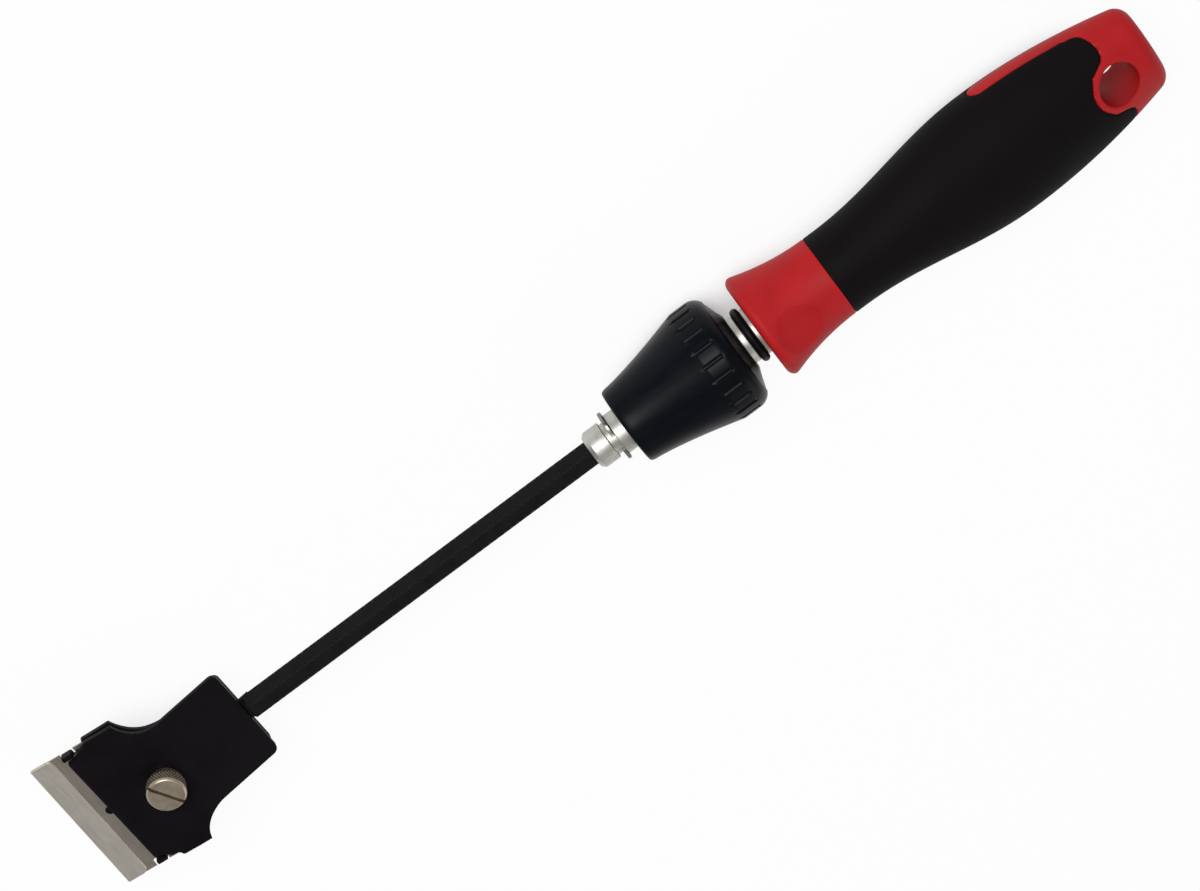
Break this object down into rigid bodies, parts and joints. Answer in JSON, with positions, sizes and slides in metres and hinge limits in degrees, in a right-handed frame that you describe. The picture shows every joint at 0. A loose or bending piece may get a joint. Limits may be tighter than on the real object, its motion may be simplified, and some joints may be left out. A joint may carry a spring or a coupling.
{
  "type": "long-reach blade scraper",
  "caption": "Long-reach hob scraper: a reversible blade clamped on a hexagonal shaft that telescopes into a soft-grip handle, held by a pull-back lock sleeve.",
  "frame": {"origin": "centre of the hanging hole, on the hole's axis and halfway through the handle", "axes": "+X along the shaft from the handle towards the blade, +Z along the hanging hole's axis and out of the head's upper plate, +Y across the blade"},
  "size_m": [0.3037, 0.0396, 0.0292],
  "materials": {
    "red_plastic": "satin",
    "soft_grip": "matte",
    "aluminium": "turned",
    "spring_steel": "oiled",
    "black_rubber": "satin",
    "black_plastic": "satin",
    "ground_steel": "ground",
    "black_steel": "matte",
    "black_plate": "semi-gloss",
    "nickel_steel": "nickel plated",
    "blade_steel": "rolled"
  },
  "bodies": {
    "handle": {"handle_core": "red_plastic", "grip": "soft_grip", "chuck_body": "aluminium", "snap_ring": "spring_steel", "o_ring": "black_rubber", "seat_washer": "spring_steel", "release_spring": "spring_steel"},
    "spring_end": {"slip_washer": "spring_steel"},
    "sleeve": {"lock_sleeve": "black_plastic", "cam_ring": "ground_steel", "front_bush": "black_plastic"},
    "ball_1": {"lock_ball_1": "ground_steel"},
    "ball_2": {"lock_ball_2": "ground_steel"},
    "ball_3": {"lock_ball_3": "ground_steel"},
    "head_and_shaft": {"shaft": "black_steel", "shaft_stop": "ground_steel", "stop_pin": "ground_steel", "base_plate": "black_plate", "tongue_rivets": "black_steel", "clinch_nut": "nickel_steel", "locating_pin": "black_plate", "blade": "blade_steel", "blade_spine": "blade_steel"},
    "clamp": {"clamp_plate": "black_plate"},
    "screw": {"thumb_screw": "nickel_steel"}
  },
  "joints": [
    {"name": "shaft_slide", "type": "slide", "parent": "handle", "child": "head_and_shaft", "axis": [-1, 0, 0], "range_m": [0, 0.09]},
    {"name": "sleeve_slide", "type": "slide", "parent": "handle", "child": "spring_end", "axis": [-1, 0, 0], "range_m": [0, 0.0014], "stiffness_N_per_m": 1500, "springref_m": -0.004, "deforming": ["release_spring"]},
    {"name": "sleeve_spin", "type": "hinge", "parent": "spring_end", "child": "sleeve", "pos_m": [0.1282, 0, 0], "axis": [1, 0, 0], "continuous": true},
    {"name": "ball_1_lift", "type": "slide", "parent": "handle", "child": "ball_1", "axis": [0, 1, 0], "range_m": [0, 0.0004]},
    {"name": "ball_2_lift", "type": "slide", "parent": "handle", "child": "ball_2", "axis": [0, -0.5, 0.866], "range_m": [0, 0.0004]},
    {"name": "ball_3_lift", "type": "slide", "parent": "handle", "child": "ball_3", "axis": [0, -0.5, -0.866], "range_m": [0, 0.0004]},
    {"name": "clamp_lift", "type": "slide", "parent": "head_and_shaft", "child": "clamp", "axis": [0.1736, 0, 0.9848], "range_m": [0, 0.0021]},
    {"name": "screw_turn", "type": "hinge", "parent": "clamp", "child": "screw", "pos_m": [0.26802, 0, 0.0023], "axis": [0.1736, 0, 0.9848], "range_deg": [0, 1080]}
  ],
  "couplings": [
    {"joint": "ball_1_lift", "follows": "sleeve_slide", "ratio": 0.28571},
    {"joint": "ball_2_lift", "follows": "sleeve_slide", "ratio": 0.28571},
    {"joint": "ball_3_lift", "follows": "sleeve_slide", "ratio": 0.28571},
    {"joint": "screw_turn", "follows": "clamp_lift", "rad_per_m": 8975.9}
  ]
}
